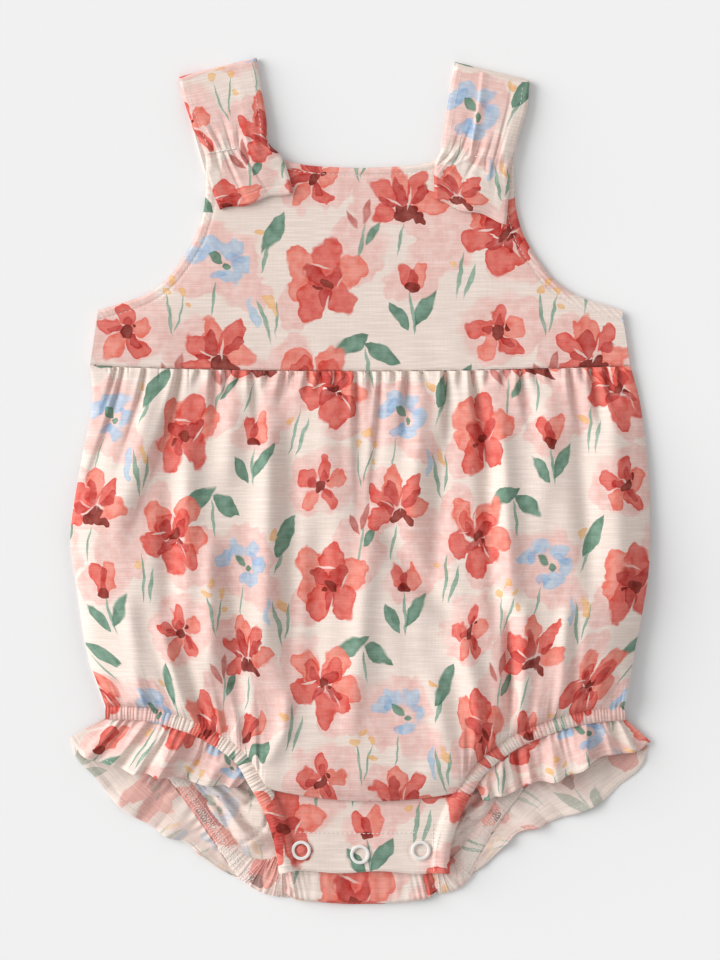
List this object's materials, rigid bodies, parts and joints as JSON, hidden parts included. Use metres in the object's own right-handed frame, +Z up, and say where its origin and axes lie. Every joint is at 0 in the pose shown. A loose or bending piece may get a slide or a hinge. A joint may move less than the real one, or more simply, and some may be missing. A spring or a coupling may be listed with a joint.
{
  "type": "baby romper",
  "caption": "Baby's sleeveless bubble romper laid flat on its back, with a smooth yoke, gathered shoulder straps and body, frilled elastic leg openings and a snap crotch.",
  "frame": {"origin": "on the surface that the garment lies on, under the middle of its bounding box", "axes": "+X to the viewer's right across the garment, +Y from the crotch to the shoulder straps, +Z up out of the surface, towards the front of the garment"},
  "size_m": [0.2826, 0.4116, 0.0211],
  "materials": {
    "printed_cloth": "slubbed plain weave with a floral print",
    "frill_cloth": "slubbed plain weave with a floral print",
    "wrong_side": "paler wrong side of the same cloth",
    "snap_plastic": "semi-gloss"
  },
  "bodies": {
    "root": {"back_body": "wrong_side", "back_crotch_flap": "printed_cloth", "back_yoke": "wrong_side", "front_body": "printed_cloth", "front_crotch_flap": "printed_cloth", "front_yoke": "printed_cloth", "leg_casing_back_left": "wrong_side", "leg_casing_back_right": "wrong_side", "leg_casing_front_left": "printed_cloth", "leg_casing_front_right": "printed_cloth", "ruffle_back_left": "frill_cloth", "ruffle_back_right": "frill_cloth", "ruffle_front_left": "frill_cloth", "ruffle_front_right": "frill_cloth", "snap_ring_left": "snap_plastic", "snap_ring_middle": "snap_plastic", "snap_ring_right": "snap_plastic", "snap_stud_left": "snap_plastic", "snap_stud_middle": "snap_plastic", "snap_stud_right": "snap_plastic", "strap_left": "printed_cloth", "strap_right": "printed_cloth"}
  },
  "joints": []
}
